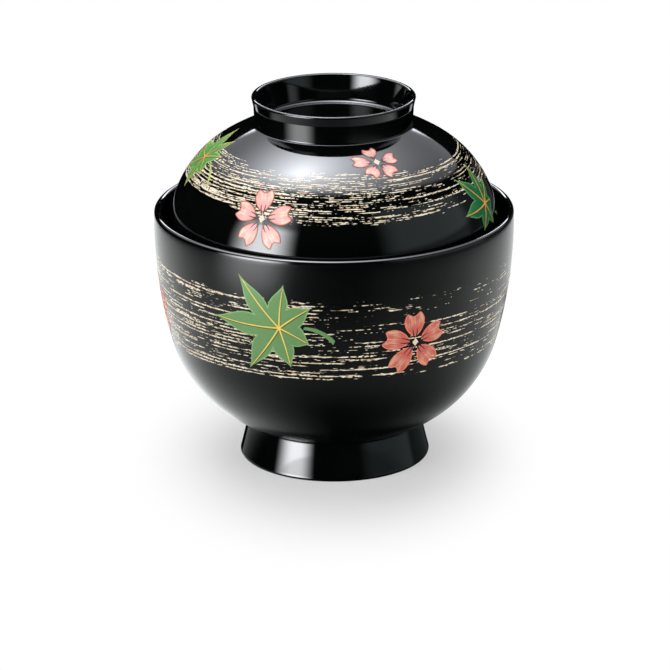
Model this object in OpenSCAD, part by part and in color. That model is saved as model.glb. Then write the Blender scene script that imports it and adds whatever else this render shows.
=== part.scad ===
// Lacquer soup bowl with a lid, both pieces turned about one upright axis.
// The lid's skirt drops into the mouth, and its rounded edge rests on the taper inside the drinking lip.
// The low ring on the lid is its grip, and its foot when the lid is laid upside down.
// Z points up, and the origin is the middle of the foot on the table.

/* [Bowl] */
// Diameter of the bowl where its side stands upright
mouth_d = 100; // [95:1:106]
// Height of the rim above the table
bowl_h = 72; // [66:0.5:77]
// Drop from the rim to the level where the side stands upright
upright_drop = 3.8; // [2.4:0.2:6]
// Radius of the side's long curve, seen in section
side_r = 126; // [110:1:160]
// Height at which the side turns into the rounder belly
belly_h = 35; // [31:0.5:40]
// Thickness of the wall below the lid's seat
bowl_wall = 4.1; // [3:0.1:4.6]
// Thickness of the floor above the foot's hollow
floor_wall = 3.8; // [3:0.1:4.6]

/* [Drinking lip] */
// Thickness of the rounded lip
lip_wall = 2; // [1.6:0.1:2.6]
// Drop from the rim to the level where the taper inside the lip ends
taper_drop = 13; // [11:0.5:16]

/* [Foot ring] */
// Height at which the foot meets the belly
foot_h = 11; // [9.5:0.25:13]
// Diameter of the foot where it meets the belly, as a share of the mouth
foot_share = 0.506; // [0.48:0.002:0.524]
// How much wider across the foot is at the table than at its neck
foot_spread = 2.6; // [1:0.1:5]
// Power of the foot's flare, higher for a straighter neck and a quicker turn outwards
foot_flare = 2.6; // [1.6:0.1:3.4]
// Thickness of the ring where it stands
foot_wall = 3; // [2.4:0.1:3.6]
// Rounding of the ring's outer lower edge
foot_edge = 0.9; // [0.5:0.1:1.2]
// Rounding of the ring's inner lower edge
foot_inner_edge = 0.6; // [0.4:0.1:0.9]
// Thickness of the ring at its neck
foot_neck_wall = 2.5; // [2:0.1:3]
// Radius of the upper corner of the hollow inside the ring
hollow_corner = 1.6; // [0.8:0.1:2.4]

/* [Lid] */
// Thickness of the lid's wall
lid_wall = 2.6; // [2:0.1:3.2]
// Height of the lid's edge above the end of the taper that it rests on
seat_rise = 1.5; // [0.8:0.1:2.4]
// Gap left between the lid's skirt and the taper
lid_gap = 0.3; // [0.2:0.05:0.5]
// Height of the upright skirt, from the lid's edge to its shoulder
skirt_h = 5.6; // [4.5:0.1:8]
// Radius of the shoulder in section, as a share of the skirt's radius
shoulder_share = 0.646; // [0.6:0.002:0.68]
// Radius of the crown in section, as a share of the skirt's radius
crown_share = 1.32; // [1.22:0.01:1.44]
// Radius that leads the lid's inside into its level ceiling, as a share of the crown's radius
fillet_share = 0.23; // [0.14:0.01:0.25]

/* [Grip ring] */
// Diameter of the ring where it leaves the crown, as a share of the mouth
ring_share = 0.434; // [0.41:0.002:0.45]
// How much wider across the ring is at its rim than at its neck
ring_spread = 2; // [1:0.1:4]
// Height of the ring above the crown
ring_h = 7.9; // [6.5:0.1:10]
// Power of the ring's flare
ring_flare = 2.4; // [1.6:0.1:3.4]
// Thickness of the ring at its rim
ring_wall = 1.4; // [1.2:0.05:2]
// Thickness of the ring at its neck, where the dish's wall meets the dish's floor
ring_neck_wall = 2.2; // [1.8:0.1:2.8]
// Rounding of the two edges of the rim
ring_edge = 0.5; // [0.3:0.05:0.55]
// Depth of the dish inside the ring
dish_depth = 7.7; // [6:0.1:8.6]
// Radius of the corner between the dish's wall and its floor
dish_corner = 1.2; // [0.8:0.1:1.8]

/* [Hidden] */
$fn = 180;
curve_steps = 28;
edge_steps = 8;
flare_steps = 14;
lacquer = [0.05, 0.05, 0.055];

// Points on an arc of a section, from one angle to another
function arc(centre, radius, from, to, steps) = [
    for (i = [0:steps])
        let (a = from + (to - from) * i / steps)
        centre + radius * [cos(a), sin(a)]
];

// A side that leaves its neck upright and turns outwards more and more towards its end
function flare(neck, end, power, steps) = [
    for (i = [0:steps])
        let (t = i / steps)
        [neck[0] + (end[0] - neck[0]) * pow(t, power), neck[1] + (end[1] - neck[1]) * t]
];

function reversed(points) = [for (i = [len(points) - 1:-1:0]) points[i]];

// The side is one long arc, upright at upright_h, and the belly is an arc that leaves it smoothly
// and ends where the foot begins.
upright_h = bowl_h - upright_drop;
side_centre = [mouth_d / 2 - side_r, upright_h];
belly_angle = asin((upright_h - belly_h) / side_r);
inward = [-cos(belly_angle), sin(belly_angle)];
belly_start = side_centre - side_r * inward;
foot_neck_r = mouth_d * foot_share / 2;
foot_top = [foot_neck_r, foot_h];
to_foot = foot_top - belly_start;
belly_r = (to_foot * to_foot) / (2 * (to_foot * inward));
belly_centre = belly_start + belly_r * inward;
foot_angle = atan2(belly_centre[1] - foot_top[1], foot_top[0] - belly_centre[0]);

// The inside keeps the wall's thickness all the way down to a level floor.
inner_side_r = side_r - bowl_wall;
inner_belly_r = belly_r - bowl_wall;
floor_angle = belly_centre[0] > 0 ? 90 : acos(-belly_centre[0] / inner_belly_r);
floor_h = belly_centre[1] - inner_belly_r * sin(floor_angle);
hollow_h = floor_h - floor_wall;

// The lip is a half round that runs into a straight taper on the inside.
lip_round = lip_wall / 2;
lip_h = bowl_h - lip_round;
lip_angle = asin((lip_h - upright_h) / side_r);
lip_centre = [side_centre[0] + side_r * cos(lip_angle) - lip_round, lip_h];
taper_h = bowl_h - taper_drop;
taper_end_angle = asin((taper_h - upright_h) / inner_side_r);
taper_end = side_centre + inner_side_r * [cos(taper_end_angle), sin(taper_end_angle)];
to_lip = lip_centre - taper_end;
taper_angle = atan2(to_lip[0], to_lip[1]) - asin(lip_round / norm(to_lip));

// Radius of the taper inside the lip at a height
function taper_r(height) = taper_end[0] + (height - taper_h) * tan(taper_angle);

// The ring that the bowl stands on
foot_r = foot_neck_r + foot_spread / 2;
hollow_r = foot_r - foot_wall;
hollow_top_r = foot_neck_r - foot_neck_wall;

// The lid takes its width from the taper at the level of its rounded edge.
lid_edge = lid_wall / 2;
lid_h = taper_h + seat_rise;
lid_r = taper_r(lid_h + lid_edge) - lid_gap;
shoulder_h = lid_h + skirt_h;
shoulder_r = lid_r * shoulder_share;
crown_r = lid_r * crown_share;
shoulder_centre = [lid_r - shoulder_r, shoulder_h];
shoulder_angle = acos(shoulder_centre[0] / (crown_r - shoulder_r));
crown_centre = [0, shoulder_h - (crown_r - shoulder_r) * sin(shoulder_angle)];

// The grip ring leaves the crown at its neck.
ring_neck_r = mouth_d * ring_share / 2;
neck_angle = acos(ring_neck_r / crown_r);
ring_neck = crown_centre + crown_r * [cos(neck_angle), sin(neck_angle)];
ring_r = ring_neck_r + ring_spread / 2;
top_h = ring_neck[1] + ring_h;
ring_edge_h = top_h - ring_edge;
ring_inner_r = ring_r - ring_wall;
dish_h = top_h - dish_depth;
corner_h = dish_h + dish_corner;
dish_r = ring_neck_r - ring_neck_wall;
dish_lean = atan((ring_inner_r - dish_r) / (ring_edge_h - dish_h));
corner_r = dish_r + dish_corner * tan(dish_lean) - dish_corner / cos(dish_lean);

// The lid's inside keeps the wall's thickness up to a fillet round its level ceiling.
inner_shoulder_r = shoulder_r - lid_wall;
inner_crown_r = crown_r - lid_wall;
ceiling_h = dish_h - lid_wall;
ceiling_rise = ceiling_h - crown_centre[1];
ceiling_fillet = crown_r * fillet_share;
fillet_h = ceiling_h - ceiling_fillet;
fillet_reach = sqrt((inner_crown_r - ceiling_rise) * (inner_crown_r + ceiling_rise - 2 * ceiling_fillet));
fillet_angle = atan2(ceiling_rise - ceiling_fillet, fillet_reach);

// Half section of the bowl: hollow, ring, foot's flare, belly, side, lip, inside
bowl_outline = concat(
    [[0, hollow_h]],
    arc([hollow_top_r - hollow_corner, hollow_h - hollow_corner], hollow_corner, 90, 0, edge_steps),
    arc([hollow_r + foot_inner_edge, foot_inner_edge], foot_inner_edge, 180, 270, edge_steps),
    arc([foot_r - foot_edge, foot_edge], foot_edge, 270, 360, edge_steps),
    reversed(flare(foot_top, [foot_r, foot_edge], foot_flare, flare_steps)),
    arc(belly_centre, belly_r, -foot_angle, -belly_angle, curve_steps),
    arc(side_centre, side_r, -belly_angle, lip_angle, curve_steps),
    arc(lip_centre, lip_round, lip_angle, 180 - taper_angle, edge_steps),
    arc(side_centre, inner_side_r, taper_end_angle, -belly_angle, curve_steps),
    arc(belly_centre, inner_belly_r, -belly_angle, -floor_angle, curve_steps),
    [[0, floor_h]]
);

// Half section of the lid: hollow, rounded edge, skirt, shoulder, crown, ring, dish
lid_outline = concat(
    [[0, ceiling_h]],
    arc([fillet_reach, fillet_h], ceiling_fillet, 90, fillet_angle, edge_steps),
    arc(crown_centre, inner_crown_r, fillet_angle, shoulder_angle, edge_steps),
    arc(shoulder_centre, inner_shoulder_r, shoulder_angle, 0, curve_steps),
    arc([lid_r - lid_edge, lid_h + lid_edge], lid_edge, 180, 360, edge_steps),
    arc(shoulder_centre, shoulder_r, 0, shoulder_angle, curve_steps),
    arc(crown_centre, crown_r, shoulder_angle, neck_angle, curve_steps),
    flare(ring_neck, [ring_r, ring_edge_h], ring_flare, flare_steps),
    arc([ring_r - ring_edge, ring_edge_h], ring_edge, 0, 90, edge_steps),
    arc([ring_inner_r + ring_edge, ring_edge_h], ring_edge, 90, 180, edge_steps),
    arc([corner_r, corner_h], dish_corner, -dish_lean, -90, edge_steps),
    [[0, dish_h]]
);

// The body with its foot ring, turned as one piece
module bowl() {
    color(lacquer)
        rotate_extrude()
            polygon(bowl_outline);
}

// The dome with its grip ring, turned as one piece
module lid() {
    color(lacquer)
        rotate_extrude()
            polygon(lid_outline);
}

bowl();
lid();
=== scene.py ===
"""Lacquer soup bowl with a lid, dressed for a studio picture.

Two smooth lacquered shells, turned from the same sections as the CAD solids, stand for the bowl and the lid.
The maple leaves and cherry blossoms are thin skins of paint that follow the wall, and the brushed gold bands
are in the lacquer's own materials. The sizes and colours are listed in the panel of the 3D view's sidebar.
"""

import math
from types import SimpleNamespace

import bmesh
import bpy
from bpy.props import FloatProperty, FloatVectorProperty, PointerProperty
from mathutils import Matrix, Vector


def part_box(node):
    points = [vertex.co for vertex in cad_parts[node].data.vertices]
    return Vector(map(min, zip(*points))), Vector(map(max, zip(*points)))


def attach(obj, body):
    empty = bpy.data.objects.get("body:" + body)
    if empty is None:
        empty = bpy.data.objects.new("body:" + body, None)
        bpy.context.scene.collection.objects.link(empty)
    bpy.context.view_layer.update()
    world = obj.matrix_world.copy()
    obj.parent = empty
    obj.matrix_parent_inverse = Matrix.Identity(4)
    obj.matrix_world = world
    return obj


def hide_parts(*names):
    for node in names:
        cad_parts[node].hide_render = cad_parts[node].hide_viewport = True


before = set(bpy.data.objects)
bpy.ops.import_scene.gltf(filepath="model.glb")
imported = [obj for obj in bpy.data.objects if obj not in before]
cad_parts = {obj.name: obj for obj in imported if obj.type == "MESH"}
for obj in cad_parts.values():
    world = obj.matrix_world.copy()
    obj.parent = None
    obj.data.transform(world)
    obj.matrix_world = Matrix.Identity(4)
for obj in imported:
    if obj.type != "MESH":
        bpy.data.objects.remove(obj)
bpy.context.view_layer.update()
BOWL_LOW, BOWL_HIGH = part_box("bowl")

bl_info = {
    "name": "Lacquer Soup Bowl",
    "version": (1, 0, 0),
    "blender": (4, 5, 0),
    "location": "3D View > Sidebar > Soup Bowl",
    "description": "Turns the lacquered bowl and lid, paints them and lights them on a pale table",
    "category": "Object",
}

MM = 0.001
TURN_STEPS = 240  # facets round each turned shell
CREASE = math.radians(32)  # edges sharper than this stay crisp
SEAM = 1e-7  # points closer than this are one
NEAR = 1e-5  # how close points are to a joint or a cut that they belong to

# ---------------------------------------------------------------------------------------------------------
# Sizes and colours
# ---------------------------------------------------------------------------------------------------------


def length(name, description, default):
    """A size in metres"""
    return FloatProperty(name=name, description=description, default=default, min=0.0, precision=5, unit="LENGTH")


def share(name, description, default):
    """A part of another size, or a plain number"""
    return FloatProperty(name=name, description=description, default=default, min=0.0, precision=3)


def angle(name, description, degrees):
    """An angle, given in degrees"""
    return FloatProperty(name=name, description=description, default=math.radians(degrees), subtype="ANGLE")


def power(name, description, default):
    """A lamp's power"""
    return FloatProperty(name=name, description=description, default=default, unit="POWER")


def colour(name, description, default):
    """A colour as it looks on screen, each channel from 0 to 255"""
    return FloatVectorProperty(
        name=name, description=description, default=[screen_to_light(c / 255) for c in default],
        size=3, min=0.0, max=1.0, subtype="COLOR",
    )


def screen_to_light(value):
    """Linear light of one channel of a screen colour"""
    return value / 12.92 if value <= 0.04045 else ((value + 0.055) / 1.055) ** 2.4


class SoupBowlSizes(bpy.types.PropertyGroup):
    """Sizes of the bowl's section"""

    mouth: length("Mouth", "Diameter where the side stands upright", BOWL_HIGH.x - BOWL_LOW.x)
    height: length("Height", "Height of the rim above the table", BOWL_HIGH.z)
    upright_drop: length("Upright drop", "Drop from the rim to the level where the side is upright", 3.8 * MM)
    side_radius: length("Side radius", "Radius of the side's long curve in section", 126 * MM)
    belly_height: length("Belly height", "Height at which the side turns into the belly", 35 * MM)
    wall: length("Wall", "Thickness of the wall below the lid's seat", 4.1 * MM)
    floor: length("Floor", "Thickness of the floor above the foot's hollow", 3.8 * MM)
    lip: length("Lip", "Thickness of the rounded drinking lip", 2 * MM)
    taper_drop: length("Taper drop", "Drop from the rim to the end of the taper inside the lip", 13 * MM)
    foot_height: length("Foot height", "Height at which the foot meets the belly", 11 * MM)
    foot_share: share("Foot share", "Diameter of the foot's neck as a share of the mouth", 0.506)
    foot_spread: length("Foot spread", "How much wider the foot is at the table than at its neck", 2.6 * MM)
    foot_waist: share("Foot waist", "Diameter of the flared side at its top as a share of the mouth", 0.492)
    foot_flare: share("Foot flare", "Power of the foot's flare", 1.2)
    foot_shoulder: length("Foot shoulder", "Rounding of the small step where the foot meets the belly", 0.4 * MM)
    foot_wall: length("Foot wall", "Thickness of the ring where it stands", 3 * MM)
    foot_edge: length("Foot edge", "Rounding of the ring's outer lower edge", 0.9 * MM)
    foot_inner_edge: length("Foot inner edge", "Rounding of the ring's inner lower edge", 0.6 * MM)
    foot_neck_wall: length("Foot neck wall", "Thickness of the ring at its neck", 2.5 * MM)
    hollow_corner: length("Hollow corner", "Radius of the upper corner inside the ring", 1.6 * MM)
    gloss_edge: length("Gloss edge", "Drop from the rim to where the satin wall starts", 1.1 * MM)


class SoupLidSizes(bpy.types.PropertyGroup):
    """Sizes of the lid's section"""

    wall: length("Wall", "Thickness of the lid", 2.6 * MM)
    seat_rise: length("Seat rise", "Height of the lid's edge above the end of the taper", 1.5 * MM)
    gap: length("Gap", "Gap between the lid's skirt and the taper", 0.3 * MM)
    skirt: length("Skirt", "Height of the upright skirt", 5.6 * MM)
    shoulder_share: share("Shoulder share", "Radius of the shoulder as a share of the skirt's", 0.646)
    crown_share: share("Crown share", "Radius of the crown as a share of the skirt's", 1.32)
    fillet_share: share("Fillet share", "Radius round the ceiling as a share of the crown's", 0.23)
    ring_share: share("Ring share", "Diameter of the grip ring's neck as a share of the mouth", 0.438)
    ring_spread: length("Ring spread", "How much wider the ring is at its rim than at its neck", 1.6 * MM)
    ring_height: length("Ring height", "Height of the grip ring above the crown", 7.98 * MM)
    ring_draft: share("Ring draft", "Run outwards of the ring's lower part for each unit of its rise", 0.05)
    ring_band: length("Ring band", "Height of the band under the rim that leans out more", 2.8 * MM)
    ring_wall: length("Ring wall", "Thickness of the ring at its rim", 1.4 * MM)
    ring_edge: length("Ring edge", "Rounding of the rim's two edges", 0.5 * MM)
    dish_depth: length("Dish depth", "Depth of the dish inside the ring", 7.7 * MM)
    dish_corner: length("Dish corner", "Radius between the dish's wall and floor", 1.2 * MM)
    dish_draft: share("Dish draft", "Run outwards of the dish's wall for each unit of its rise", 0.195)


class SoupBowlFinish(bpy.types.PropertyGroup):
    """Colours of the lacquer and the paint, and the paint's thickness"""

    lacquer: colour("Lacquer", "Black of the lacquer", (4, 5, 5))
    gold: colour("Gold", "Light gold of the brushed bands", (255, 243, 218))
    gold_shade: colour("Gold shade", "Darker gold where the brush ran dry", (224, 198, 158))
    leaf: colour("Leaf", "Green of the bowl's leaf", (106, 149, 93))
    leaf_edge: colour("Leaf edge", "Lighter line round the leaf", (136, 180, 118))
    leaf_shade: colour("Leaf shade", "Dark line along the veins", (34, 84, 46))
    vein: colour("Vein", "Yellow gold of the veins", (250, 216, 96))
    lid_leaf: colour("Lid leaf", "Green of the lid's darker leaf", (8, 106, 62))
    lid_leaf_edge: colour("Lid leaf edge", "Yellow green at the darker leaf's edges", (88, 156, 84))
    pale_leaf: colour("Pale leaf", "Green of the lid's paler leaves", (76, 152, 74))
    pale_leaf_edge: colour("Pale leaf edge", "Yellow green at the paler leaves' edges", (182, 206, 120))
    lid_vein: colour("Lid vein", "Orange gold of the lid leaves' veins", (246, 176, 74))
    coral: colour("Coral", "Petals of the bowl's blossom", (214, 104, 90))
    coral_edge: colour("Coral edge", "Line round the petals", (240, 132, 110))
    coral_streak: colour("Coral streak", "Beige brush streaks on the bowl's petals", (226, 172, 142))
    pink: colour("Pink", "Petals of the lid's blossoms", (242, 180, 176))
    cream: colour("Cream", "Strokes on the petals and the blossom's centre", (252, 226, 204))
    ink: colour("Ink", "Stamens and thin outlines", (20, 14, 16))
    paint: length("Paint", "How far the paint stands proud of the lacquer", 0.05 * MM)
    paint_edge: length("Paint edge", "Width of the lighter line round a leaf", 0.32 * MM)


class SoupBowlStudio(bpy.types.PropertyGroup):
    """Camera, table and light"""

    camera_distance: length("Camera distance", "From the bowl's axis to the camera, along the table", 1.139)
    camera_height: length("Camera height", "Height of the camera above the table", 0.43)
    camera_tilt: angle("Camera tilt", "How far the camera looks down", 19.166)
    camera_roll: angle("Camera roll", "Lean of the camera to one side", -0.19)
    camera_aside: length("Camera aside", "How far the camera stands to the right of the axis", 0.00017)
    lens: FloatProperty(name="Lens", description="Focal length in mm on a 36 mm frame", default=230.8)
    ambient: share("Ambient", "Strength of the even light from all round", 0.55)
    key: power("Key light", "Power of the large lamp overhead", 6.0)
    side: power("Side light", "Power of the lamp at the left", 5.2)
    fill: power("Fill light", "Power of the lamp at the right", 4.0)


# ---------------------------------------------------------------------------------------------------------
# Sections: radii and heights of the turned pieces, with x for the radius and y for the height
# ---------------------------------------------------------------------------------------------------------


def around(angle):
    """Unit step at an angle, in the section's plane"""
    return Vector((math.cos(angle), math.sin(angle)))


def bowl_section(size):
    """Centres, radii and heights of the bowl's section"""
    s = SimpleNamespace()
    s.upright = size.height - size.upright_drop
    s.side_centre = Vector((size.mouth / 2 - size.side_radius, s.upright))
    s.belly_angle = math.asin((s.upright - size.belly_height) / size.side_radius)
    outward = around(-s.belly_angle)
    belly_start = s.side_centre + size.side_radius * outward
    s.foot_top = Vector((size.mouth * size.foot_share / 2, size.foot_height))
    to_foot = s.foot_top - belly_start
    s.belly_radius = -to_foot.dot(to_foot) / (2 * to_foot.dot(outward))
    s.belly_centre = belly_start - s.belly_radius * outward
    s.foot_angle = math.atan2(s.belly_centre.y - s.foot_top.y, s.foot_top.x - s.belly_centre.x)
    s.inner_side = size.side_radius - size.wall
    s.inner_belly = s.belly_radius - size.wall
    s.floor_angle = math.pi / 2 if s.belly_centre.x > 0 else math.acos(-s.belly_centre.x / s.inner_belly)
    s.floor = s.belly_centre.y - s.inner_belly * math.sin(s.floor_angle)
    s.hollow = s.floor - size.floor
    s.lip_round = size.lip / 2
    lip_height = size.height - s.lip_round
    s.lip_angle = math.asin((lip_height - s.upright) / size.side_radius)
    s.lip_centre = Vector((s.side_centre.x + size.side_radius * math.cos(s.lip_angle) - s.lip_round, lip_height))
    s.taper_height = size.height - size.taper_drop
    s.taper_end_angle = math.asin((s.taper_height - s.upright) / s.inner_side)
    s.taper_end = s.side_centre + s.inner_side * around(s.taper_end_angle)
    to_lip = s.lip_centre - s.taper_end
    s.taper_angle = math.atan2(to_lip.x, to_lip.y) - math.asin(s.lip_round / to_lip.length)
    s.foot_radius = s.foot_top.x + size.foot_spread / 2
    s.hollow_radius = s.foot_radius - size.foot_wall
    s.hollow_top = s.foot_top.x - size.foot_neck_wall
    step_in = size.mouth * size.foot_waist / 2 - size.foot_shoulder - s.belly_centre.x
    s.groove_angle = math.acos(step_in / s.belly_radius)
    s.groove = s.belly_centre + s.belly_radius * around(-s.groove_angle)
    s.wall = [
        (s.belly_centre, s.belly_radius, -s.foot_angle, -s.belly_angle),
        (s.side_centre, size.side_radius, -s.belly_angle, s.lip_angle),
    ]
    return s


def lid_section(size, bowl_size):
    """Centres, radii and heights of the lid's section, which takes its width from the bowl's taper"""
    bowl = bowl_section(bowl_size)
    s = SimpleNamespace()
    s.edge = size.wall / 2
    s.low = bowl.taper_height + size.seat_rise
    at_edge = s.low + s.edge - bowl.taper_height
    s.skirt_radius = bowl.taper_end.x + at_edge * math.tan(bowl.taper_angle) - size.gap
    s.shoulder_height = s.low + size.skirt
    s.shoulder_radius = s.skirt_radius * size.shoulder_share
    s.crown_radius = s.skirt_radius * size.crown_share
    s.shoulder_centre = Vector((s.skirt_radius - s.shoulder_radius, s.shoulder_height))
    reach = s.crown_radius - s.shoulder_radius
    s.shoulder_angle = math.acos(s.shoulder_centre.x / reach)
    s.crown_centre = Vector((0, s.shoulder_height - reach * math.sin(s.shoulder_angle)))
    neck = bowl_size.mouth * size.ring_share / 2
    s.neck_angle = math.acos(neck / s.crown_radius)
    s.ring_neck = s.crown_centre + s.crown_radius * around(s.neck_angle)
    s.ring_radius = neck + size.ring_spread / 2
    s.top = s.ring_neck.y + size.ring_height
    s.ring_inner = s.ring_radius - size.ring_wall
    s.dish = s.top - size.dish_depth
    s.dish_lean = math.atan(size.dish_draft)
    s.corner = Vector((
        s.ring_inner - size.dish_draft * (s.top - size.ring_edge - s.dish - size.dish_corner)
        - size.dish_corner / math.cos(s.dish_lean), s.dish + size.dish_corner))
    s.inner_shoulder = s.shoulder_radius - size.wall
    s.inner_crown = s.crown_radius - size.wall
    s.ceiling = s.dish - size.wall
    rise = s.ceiling - s.crown_centre.y
    s.fillet = s.crown_radius * size.fillet_share
    s.fillet_centre = Vector((
        math.sqrt((s.inner_crown - rise) * (s.inner_crown + rise - 2 * s.fillet)), s.ceiling - s.fillet))
    s.fillet_angle = math.atan2(rise - s.fillet, s.fillet_centre.x)
    s.wall = [
        (s.shoulder_centre, s.shoulder_radius, 0.0, s.shoulder_angle),
        (s.crown_centre, s.crown_radius, s.shoulder_angle, s.neck_angle),
    ]
    return s


class Pen:
    """Draws a half section as one chain of edges, with bmesh operators that carry its last point on"""

    def __init__(self, start):
        self.bm = bmesh.new()
        self.tip = self.bm.verts.new((start[0], 0, start[1]))

    def line(self, point, shares=(0.04, 0.96, 1.0)):
        """Straight to a point, with a short piece at each end so that smooth shading keeps the middle flat"""
        start, end = self.tip.co.copy(), Vector((point[0], 0, point[1]))
        for along in shares:
            self.tip = bmesh.ops.extrude_vert_indiv(self.bm, verts=[self.tip])["verts"][0]
            self.tip.co = start.lerp(end, along)

    def arc(self, centre, start, end, steps):
        """Round a centre, from one angle to another"""
        swept = bmesh.ops.spin(
            self.bm, geom=[self.tip], cent=(centre[0], 0, centre[1]), axis=(0, -1, 0), angle=end - start,
            steps=steps)
        self.tip = next(v for v in swept["geom_last"] if isinstance(v, bmesh.types.BMVert))

    def corner(self, centre, radius, start, end, steps):
        """Straight to the start of an arc, and then along it"""
        self.line(Vector(centre) + radius * around(start))
        self.arc(centre, start, end, steps)

    def flare(self, neck, end, power, steps):
        """From the end to the neck of a side that turns outwards more and more away from its neck"""
        for i in range(1, steps + 1):
            t = 1 - i / steps
            self.line((neck[0] + (end[0] - neck[0]) * t ** power, neck[1] + (end[1] - neck[1]) * t), (1.0,))

    def turn(self):
        """The section turned once round the upright axis, with its seam and poles closed"""
        bm = self.bm
        bmesh.ops.spin(
            bm, geom=bm.verts[:] + bm.edges[:], axis=(0, 0, 1), angle=math.tau, steps=TURN_STEPS, use_merge=True)
        bmesh.ops.remove_doubles(bm, verts=bm.verts, dist=SEAM)
        bmesh.ops.recalc_face_normals(bm, faces=bm.faces)
        return bm


def soften_joint(bm, point, width):
    """Rounds the ring of edges where two surfaces meet at a point of the section"""
    def on_joint(v):
        return abs(v.co.xy.length - point.x) < NEAR and abs(v.co.z - point.y) < NEAR
    ring = [e for e in bm.edges if on_joint(e.verts[0]) and on_joint(e.verts[1])]
    if len(ring) != TURN_STEPS:
        raise RuntimeError(f"the joint ring has {len(ring)} edges, not {TURN_STEPS}")
    bmesh.ops.bevel(
        bm, geom=ring, offset=width, offset_type="OFFSET", segments=4, profile=0.5, affect="EDGES", material=-1)


QUARTER = math.pi / 2
# Steps of each arc in the sections
CORNER_STEPS, FLARE_STEPS, STEP_STEPS, BELLY_STEPS, SIDE_STEPS, LIP_STEPS, SEAT_STEPS = 8, 20, 6, 40, 30, 14, 22
FILLET_STEPS, CEILING_STEPS, HOLLOW_STEPS, EDGE_STEPS, SHOULDER_STEPS, CROWN_STEPS = 12, 6, 32, 12, 40, 14
RING_JOINT = 0.4 * MM  # rounding where the grip ring leaves the crown


def draw_bowl(size):
    """The bowl's shell: hollow, foot, belly, side, lip and inside"""
    s = bowl_section(size)
    pen = Pen((0, s.hollow))
    corner, inner, outer = size.hollow_corner, size.foot_inner_edge, size.foot_edge
    pen.corner((s.hollow_top - corner, s.hollow - corner), corner, QUARTER, 0, CORNER_STEPS)
    pen.corner((s.hollow_radius + inner, inner), inner, 2 * QUARTER, 3 * QUARTER, CORNER_STEPS)
    pen.corner((s.foot_radius - outer, outer), outer, 3 * QUARTER, 4 * QUARTER, CORNER_STEPS)
    shoulder = s.groove - Vector((0, size.foot_shoulder))
    neck = shoulder + Vector((size.foot_shoulder, 0))
    pen.flare(neck, (s.foot_radius, outer), size.foot_flare, FLARE_STEPS)
    pen.arc(shoulder, 0, QUARTER, STEP_STEPS)
    pen.arc(s.belly_centre, -s.groove_angle, -s.belly_angle, BELLY_STEPS)
    pen.arc(s.side_centre, -s.belly_angle, s.lip_angle, SIDE_STEPS)
    pen.arc(s.lip_centre, s.lip_angle, math.pi - s.taper_angle, LIP_STEPS)
    pen.corner(s.side_centre, s.inner_side, s.taper_end_angle, -s.belly_angle, SEAT_STEPS)
    pen.arc(s.belly_centre, -s.belly_angle, -s.floor_angle, BELLY_STEPS)
    pen.line((0, s.floor))
    return pen.turn()


def draw_lid(size, s):
    """The lid's shell from its section: hollow, rounded edge, skirt, shoulder, crown, ring and dish"""
    pen = Pen((0, s.ceiling))
    pen.corner(s.fillet_centre, s.fillet, QUARTER, s.fillet_angle, FILLET_STEPS)
    pen.arc(s.crown_centre, s.fillet_angle, s.shoulder_angle, CEILING_STEPS)
    pen.arc(s.shoulder_centre, s.shoulder_angle, 0, HOLLOW_STEPS)
    pen.corner((s.skirt_radius - s.edge, s.low + s.edge), s.edge, 2 * QUARTER, 4 * QUARTER, EDGE_STEPS)
    pen.corner(s.shoulder_centre, s.shoulder_radius, 0, s.shoulder_angle, SHOULDER_STEPS)
    pen.arc(s.crown_centre, s.shoulder_angle, s.neck_angle, CROWN_STEPS)
    pen.line(s.ring_neck + (size.ring_height - size.ring_band) * Vector((size.ring_draft, 1)))
    rim = s.top - size.ring_edge
    pen.line((s.ring_radius, rim))
    pen.arc((s.ring_radius - size.ring_edge, rim), 0, QUARTER, STEP_STEPS)
    pen.corner((s.ring_inner + size.ring_edge, rim), size.ring_edge, QUARTER, 2 * QUARTER, STEP_STEPS)
    pen.corner(s.corner, size.dish_corner, -s.dish_lean, -QUARTER, CORNER_STEPS)
    pen.line((0, s.dish))
    bm = pen.turn()
    soften_joint(bm, s.ring_neck, RING_JOINT)
    return bm


# ---------------------------------------------------------------------------------------------------------
# Paint: flat motifs in millimetres, cut small, given their thickness and then laid on the wall
# ---------------------------------------------------------------------------------------------------------

CELL = 1.5  # size of the cells that let a figure follow the wall
UNDER = -0.4  # where a figure's underside is, next to the paint's thickness
LEAF_BULGE, LEAF_CUTS = 0.085, 7
LEAF_ACROSS = 2.6  # width of a leaf's own coordinates, next to its reach
VEIN_SHARE, VEIN_TIP = 0.9, 0.2
# The shade beside a vein and the vein itself: number of its paint, width, shift, and rise next to the paint's
VEIN_LINES = ((3, 0.5, (0.12, -0.26), 0.3), (2, 0.44, (0, 0), 0.6))
PETAL_BASE, PETAL_STEPS, PETAL_NOTCH = 1.8, 30, 0.13
HEART = 1.15
# Turns of the two stamens on a petal in degrees, and their length next to the petal's
STAMENS, STAMEN_SHARE = (-9, 9), 0.45


def wall_point(wall, run, turn_at, lift):
    """Point on a turned wall: run is the way up its section, turn_at the angle to the right of the front"""
    for centre, radius, start, end in wall:
        reach = radius * (end - start)
        if run <= reach:
            break
        run -= reach
    else:
        run += reach
    at = centre + (radius + lift) * around(start + run / radius)
    return Vector((at.x * math.sin(turn_at), -at.x * math.cos(turn_at), at.y))


def only(kind, geom):
    """The points or the faces of some geometry"""
    return [g for g in geom if isinstance(g, kind)]


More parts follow.
